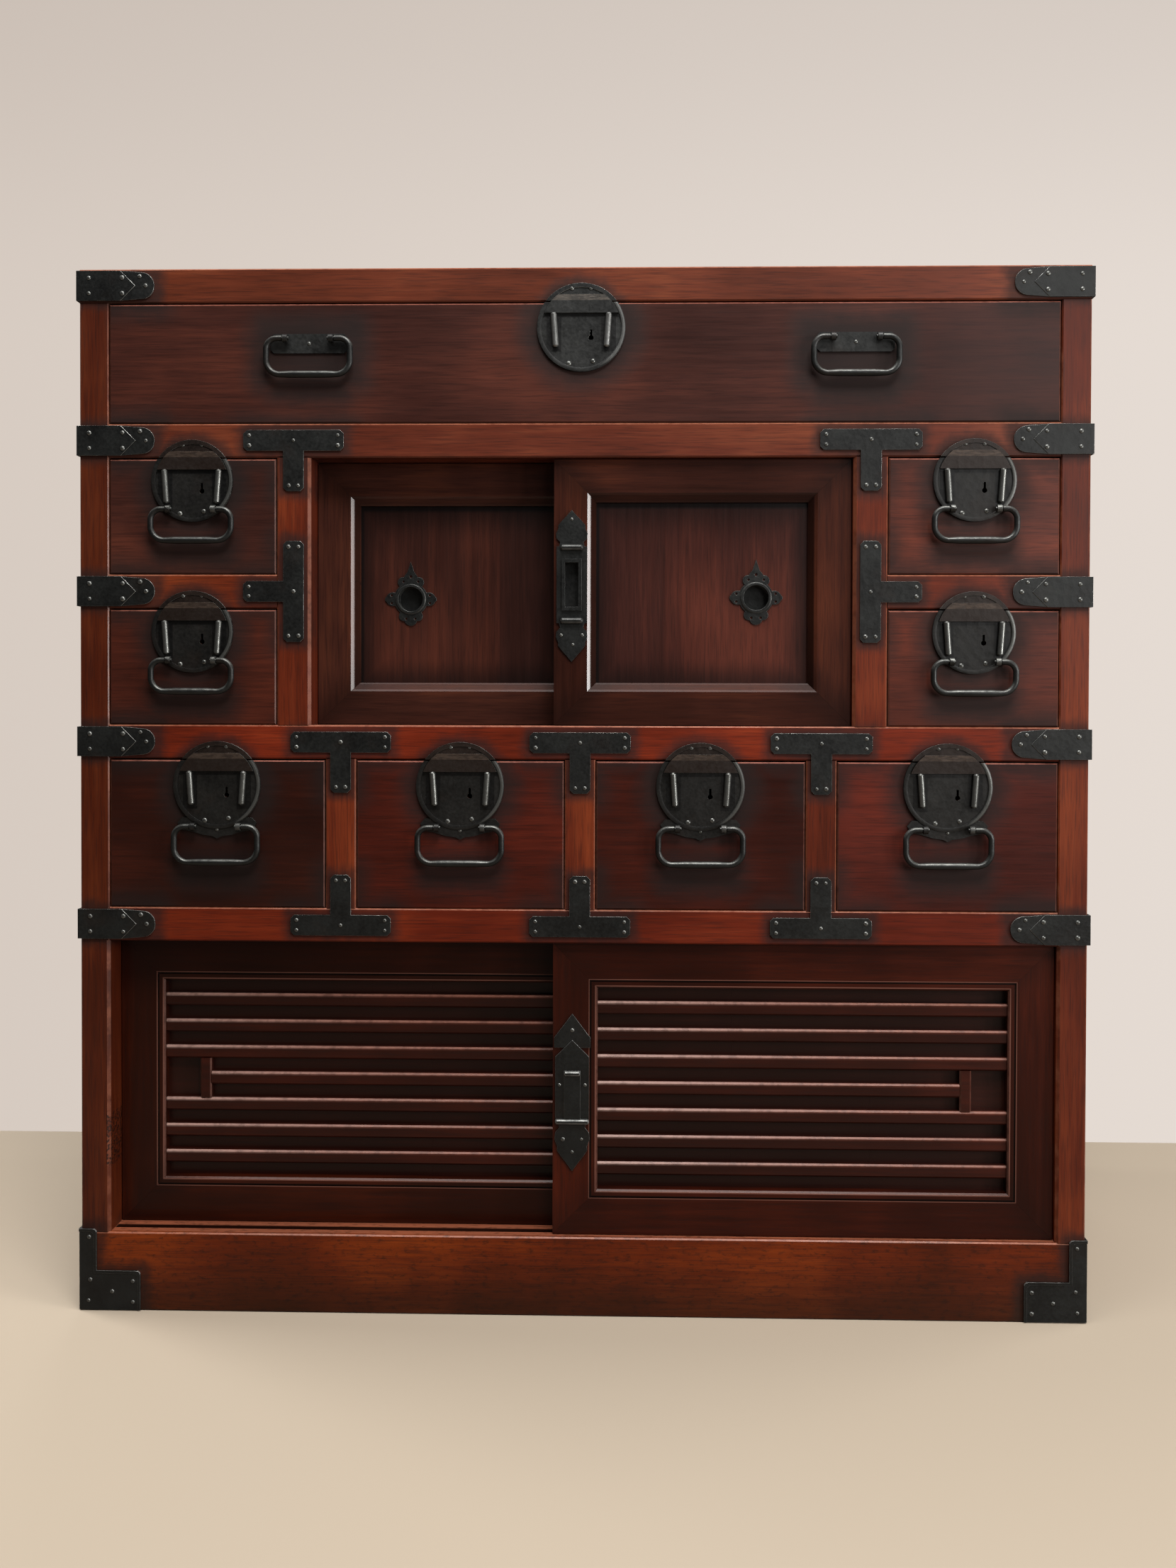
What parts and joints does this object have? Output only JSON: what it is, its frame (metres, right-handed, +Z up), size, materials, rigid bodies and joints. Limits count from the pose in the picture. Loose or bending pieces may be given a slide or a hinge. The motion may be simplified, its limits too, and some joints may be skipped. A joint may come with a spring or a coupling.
{
  "type": "tansu chest",
  "caption": "Lacquered wooden tansu chest with locking drawers, two pairs of sliding doors, and iron lock plates, straps and swinging bail handles.",
  "frame": {"origin": "middle of the bottom of the bounding box, on the floor under the chest", "axes": "+Z up; the front with the drawers faces -Y; +X to the right as seen from the front"},
  "size_m": [0.8642, 0.4196, 0.896],
  "materials": {
    "lacquer": "worn satin lacquer",
    "dark_lacquer": "worn satin lacquer, darker",
    "plain_wood": "bare softwood",
    "iron": "blackened wrought iron"
  },
  "bodies": {
    "carcass": {"side_left": "lacquer", "side_right": "lacquer", "top_board": "lacquer", "upper_shelf": "lacquer", "middle_shelf": "lacquer", "lower_shelf": "lacquer", "floor_board": "lacquer", "plinth": "lacquer", "partitions": "lacquer", "back_boards": "plain_wood", "corner_iron": "iron"},
    "top_drawer": {"top_drawer_front": "dark_lacquer", "top_drawer_box": "plain_wood", "top_drawer_lock": "iron"},
    "left_upper_drawer": {"left_upper_drawer_front": "dark_lacquer", "left_upper_drawer_box": "plain_wood", "left_upper_drawer_lock": "iron"},
    "left_lower_drawer": {"left_lower_drawer_front": "dark_lacquer", "left_lower_drawer_box": "plain_wood", "left_lower_drawer_lock": "iron"},
    "right_upper_drawer": {"right_upper_drawer_front": "dark_lacquer", "right_upper_drawer_box": "plain_wood", "right_upper_drawer_lock": "iron"},
    "right_lower_drawer": {"right_lower_drawer_front": "dark_lacquer", "right_lower_drawer_box": "plain_wood", "right_lower_drawer_lock": "iron"},
    "row_drawer_1": {"row_drawer_1_front": "dark_lacquer", "row_drawer_1_box": "plain_wood", "row_drawer_1_lock": "iron"},
    "row_drawer_2": {"row_drawer_2_front": "dark_lacquer", "row_drawer_2_box": "plain_wood", "row_drawer_2_lock": "iron"},
    "row_drawer_3": {"row_drawer_3_front": "dark_lacquer", "row_drawer_3_box": "plain_wood", "row_drawer_3_lock": "iron"},
    "row_drawer_4": {"row_drawer_4_front": "dark_lacquer", "row_drawer_4_box": "plain_wood", "row_drawer_4_lock": "iron"},
    "top_drawer_left_bail": {"top_drawer_left_bail": "iron"},
    "top_drawer_right_bail": {"top_drawer_right_bail": "iron"},
    "left_upper_drawer_bail": {"left_upper_drawer_bail": "iron"},
    "left_lower_drawer_bail": {"left_lower_drawer_bail": "iron"},
    "right_upper_drawer_bail": {"right_upper_drawer_bail": "iron"},
    "right_lower_drawer_bail": {"right_lower_drawer_bail": "iron"},
    "row_drawer_1_bail": {"row_drawer_1_bail": "iron"},
    "row_drawer_2_bail": {"row_drawer_2_bail": "iron"},
    "row_drawer_3_bail": {"row_drawer_3_bail": "iron"},
    "row_drawer_4_bail": {"row_drawer_4_bail": "iron"},
    "upper_left_door": {"upper_left_door_frame": "lacquer", "upper_left_door_infill": "dark_lacquer", "upper_left_finger_pull": "iron"},
    "upper_right_door": {"upper_right_door_frame": "lacquer", "upper_right_door_infill": "dark_lacquer", "upper_right_finger_pull": "iron", "upper_latch_plate": "iron"},
    "lower_left_door": {"lower_left_door_frame": "lacquer", "lower_left_door_infill": "dark_lacquer"},
    "lower_right_door": {"lower_right_door_frame": "lacquer", "lower_right_door_infill": "dark_lacquer", "lower_latch_plate": "iron"}
  },
  "joints": [
    {"name": "top_drawer_slide", "type": "slide", "parent": "carcass", "child": "top_drawer", "axis": [0, -1, 0], "range_m": [0, 0.3]},
    {"name": "left_upper_drawer_slide", "type": "slide", "parent": "carcass", "child": "left_upper_drawer", "axis": [0, -1, 0], "range_m": [0, 0.3]},
    {"name": "left_lower_drawer_slide", "type": "slide", "parent": "carcass", "child": "left_lower_drawer", "axis": [0, -1, 0], "range_m": [0, 0.3]},
    {"name": "right_upper_drawer_slide", "type": "slide", "parent": "carcass", "child": "right_upper_drawer", "axis": [0, -1, 0], "range_m": [0, 0.3]},
    {"name": "right_lower_drawer_slide", "type": "slide", "parent": "carcass", "child": "right_lower_drawer", "axis": [0, -1, 0], "range_m": [0, 0.3]},
    {"name": "row_drawer_1_slide", "type": "slide", "parent": "carcass", "child": "row_drawer_1", "axis": [0, -1, 0], "range_m": [0, 0.3]},
    {"name": "row_drawer_2_slide", "type": "slide", "parent": "carcass", "child": "row_drawer_2", "axis": [0, -1, 0], "range_m": [0, 0.3]},
    {"name": "row_drawer_3_slide", "type": "slide", "parent": "carcass", "child": "row_drawer_3", "axis": [0, -1, 0], "range_m": [0, 0.3]},
    {"name": "row_drawer_4_slide", "type": "slide", "parent": "carcass", "child": "row_drawer_4", "axis": [0, -1, 0], "range_m": [0, 0.3]},
    {"name": "top_drawer_left_bail_swing", "type": "hinge", "parent": "top_drawer", "child": "top_drawer_left_bail", "pos_m": [-0.232, -0.20641, 0.835], "axis": [-1, 0, 0], "range_deg": [0, 105]},
    {"name": "top_drawer_right_bail_swing", "type": "hinge", "parent": "top_drawer", "child": "top_drawer_right_bail", "pos_m": [0.232, -0.20641, 0.835], "axis": [-1, 0, 0], "range_deg": [0, 105]},
    {"name": "left_upper_drawer_bail_swing", "type": "hinge", "parent": "left_upper_drawer", "child": "left_upper_drawer_bail", "pos_m": [-0.3325, -0.20641, 0.6903], "axis": [-1, 0, 0], "range_deg": [0, 105]},
    {"name": "left_lower_drawer_bail_swing", "type": "hinge", "parent": "left_lower_drawer", "child": "left_lower_drawer_bail", "pos_m": [-0.3325, -0.20641, 0.56155], "axis": [-1, 0, 0], "range_deg": [0, 105]},
    {"name": "right_upper_drawer_bail_swing", "type": "hinge", "parent": "right_upper_drawer", "child": "right_upper_drawer_bail", "pos_m": [0.3325, -0.20641, 0.6903], "axis": [-1, 0, 0], "range_deg": [0, 105]},
    {"name": "right_lower_drawer_bail_swing", "type": "hinge", "parent": "right_lower_drawer", "child": "right_lower_drawer_bail", "pos_m": [0.3325, -0.20641, 0.56155], "axis": [-1, 0, 0], "range_deg": [0, 105]},
    {"name": "row_drawer_1_bail_swing", "type": "hinge", "parent": "row_drawer_1", "child": "row_drawer_1_bail", "pos_m": [-0.3115, -0.20641, 0.4195], "axis": [-1, 0, 0], "range_deg": [0, 105]},
    {"name": "row_drawer_2_bail_swing", "type": "hinge", "parent": "row_drawer_2", "child": "row_drawer_2_bail", "pos_m": [-0.1025, -0.20641, 0.4195], "axis": [-1, 0, 0], "range_deg": [0, 105]},
    {"name": "row_drawer_3_bail_swing", "type": "hinge", "parent": "row_drawer_3", "child": "row_drawer_3_bail", "pos_m": [0.1025, -0.20641, 0.4195], "axis": [-1, 0, 0], "range_deg": [0, 105]},
    {"name": "row_drawer_4_bail_swing", "type": "hinge", "parent": "row_drawer_4", "child": "row_drawer_4_bail", "pos_m": [0.3115, -0.20641, 0.4195], "axis": [-1, 0, 0], "range_deg": [0, 105]},
    {"name": "upper_left_door_slide", "type": "slide", "parent": "carcass", "child": "upper_left_door", "axis": [1, 0, 0], "range_m": [0, 0.2072]},
    {"name": "upper_right_door_slide", "type": "slide", "parent": "carcass", "child": "upper_right_door", "axis": [1, 0, 0], "range_m": [-0.2072, 0]},
    {"name": "lower_left_door_slide", "type": "slide", "parent": "carcass", "child": "lower_left_door", "axis": [1, 0, 0], "range_m": [0, 0.3812]},
    {"name": "lower_right_door_slide", "type": "slide", "parent": "carcass", "child": "lower_right_door", "axis": [1, 0, 0], "range_m": [-0.3812, 0]}
  ]
}
